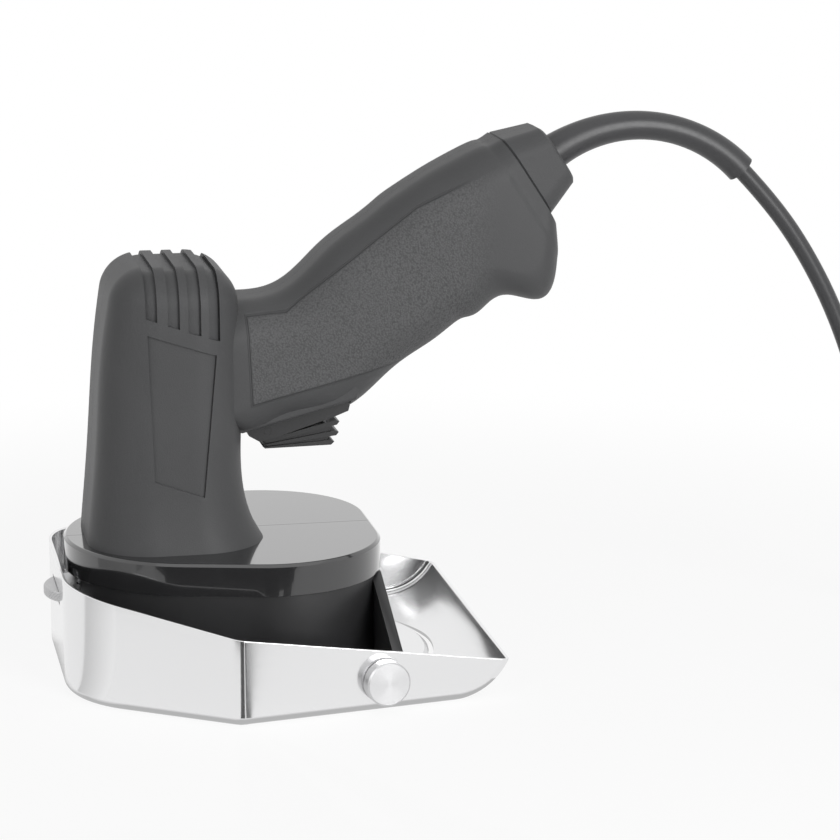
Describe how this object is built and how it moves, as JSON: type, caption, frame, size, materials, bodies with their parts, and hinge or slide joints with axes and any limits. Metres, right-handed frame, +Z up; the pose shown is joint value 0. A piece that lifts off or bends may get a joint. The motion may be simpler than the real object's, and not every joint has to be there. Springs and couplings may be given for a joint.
{
  "type": "electric kebab knife",
  "caption": "Hand-held electric kebab knife: upright motor column with a rising grip and trigger, black gear case, round blade and a stainless slice tray.",
  "frame": {"origin": "centre of the knife's length and width on the plane that its tray stands on, counted without the cord", "axes": "+X towards the cord end of the grip, +Y to the far side, +Z up along the motor and blade axes"},
  "size_m": [0.3892, 0.1806, 0.1751],
  "materials": {
    "housing": "fine grained satin",
    "case": "gloss",
    "case_satin": "satin",
    "stainless": "polished",
    "turned_steel": "turned",
    "screw_steel": "bright",
    "motor_steel": "zinc plated",
    "bearing_steel": "ground",
    "magnet": "sintered",
    "carbon": "pressed",
    "bronze": "sintered",
    "copper": "turned",
    "gear_plastic": "moulded",
    "inner_plastic": "moulded",
    "rubber": "matt",
    "board": "lacquered",
    "capacitor": "moulded",
    "cord": "satin",
    "tie": "matt",
    "plated": "nickel plated"
  },
  "bodies": {
    "housing": {"housing_near": "housing", "housing_far": "housing", "rear_cap": "housing", "housing_screws": "screw_steel", "gear_case_lid": "case", "gear_case_body": "case_satin", "case_screws": "screw_steel", "column_screws": "screw_steel", "motor_screws": "screw_steel", "motor_can": "motor_steel", "motor_end_cap": "inner_plastic", "motor_magnets": "magnet", "motor_brushes": "carbon", "motor_bushes": "bronze", "spindle_bearing_low": "bearing_steel", "spindle_bearing_top": "bearing_steel", "spindle_seal": "rubber", "depth_stud": "screw_steel", "trigger_bezel": "case_satin", "trigger_pin": "screw_steel", "trigger_spring": "screw_steel", "trigger_switch": "inner_plastic", "circuit_board": "board", "capacitor": "capacitor", "strain_relief": "cord", "cord_lead": "cord", "cord_coil": "cord", "cord_tie": "tie", "cord_tail": "cord", "plug_body": "cord", "plug_pins": "plated"},
    "spindle_set": {"drive_gear": "gear_plastic", "spindle": "screw_steel", "blade": "stainless", "blade_nut": "screw_steel"},
    "rotor": {"motor_shaft": "screw_steel", "armature": "motor_steel", "commutator": "copper", "pinion": "screw_steel"},
    "trigger_lever": {"trigger": "case_satin"},
    "button": {"switch_button": "case_satin"},
    "tray_set": {"tray": "stainless", "clamp_nuts": "screw_steel"},
    "wheel": {"depth_wheel": "turned_steel"},
    "screw_near": {"side_screw_near": "turned_steel"},
    "screw_far": {"side_screw_far": "turned_steel"}
  },
  "joints": [
    {"name": "blade_spin", "type": "hinge", "parent": "housing", "child": "spindle_set", "pos_m": [-0.012, 0, 0.02], "axis": [0, 0, 1], "continuous": true},
    {"name": "motor_spin", "type": "hinge", "parent": "housing", "child": "rotor", "pos_m": [-0.045, 0, 0.07], "axis": [0, 0, 1], "continuous": true},
    {"name": "trigger_pull", "type": "hinge", "parent": "housing", "child": "trigger_lever", "pos_m": [-0.01456, 0, 0.07735], "axis": [0, -1, 0], "range_deg": [0, 4], "stiffness_Nm_per_rad": 0.2, "springref_deg": -6.88, "deforming": ["trigger_spring"]},
    {"name": "button_press", "type": "slide", "parent": "housing", "child": "button", "axis": [-0.2504, 0, 0.9681], "range_m": [0, 0.0009]},
    {"name": "wheel_turn", "type": "hinge", "parent": "tray_set", "child": "wheel", "pos_m": [-0.071, 0, 0.0259], "axis": [0, 0, 1], "range_deg": [0, 1153]},
    {"name": "tray_slide", "type": "slide", "parent": "housing", "child": "tray_set", "axis": [0, 0, 1], "range_m": [0, 0.004]},
    {"name": "screw_near_turn", "type": "hinge", "parent": "tray_set", "child": "screw_near", "pos_m": [0.0123, -0.0664, 0.0099], "axis": [0.1633, -0.9866, 0], "continuous": true},
    {"name": "screw_far_turn", "type": "hinge", "parent": "tray_set", "child": "screw_far", "pos_m": [0.0123, 0.0664, 0.0099], "axis": [0.1633, 0.9866, 0], "continuous": true}
  ],
  "couplings": [
    {"joint": "motor_spin", "follows": "blade_spin", "ratio": -5.6},
    {"joint": "button_press", "follows": "trigger_pull", "m_per_rad": 0.0128},
    {"joint": "wheel_turn", "follows": "tray_slide", "rad_per_m": 5026.5}
  ]
}
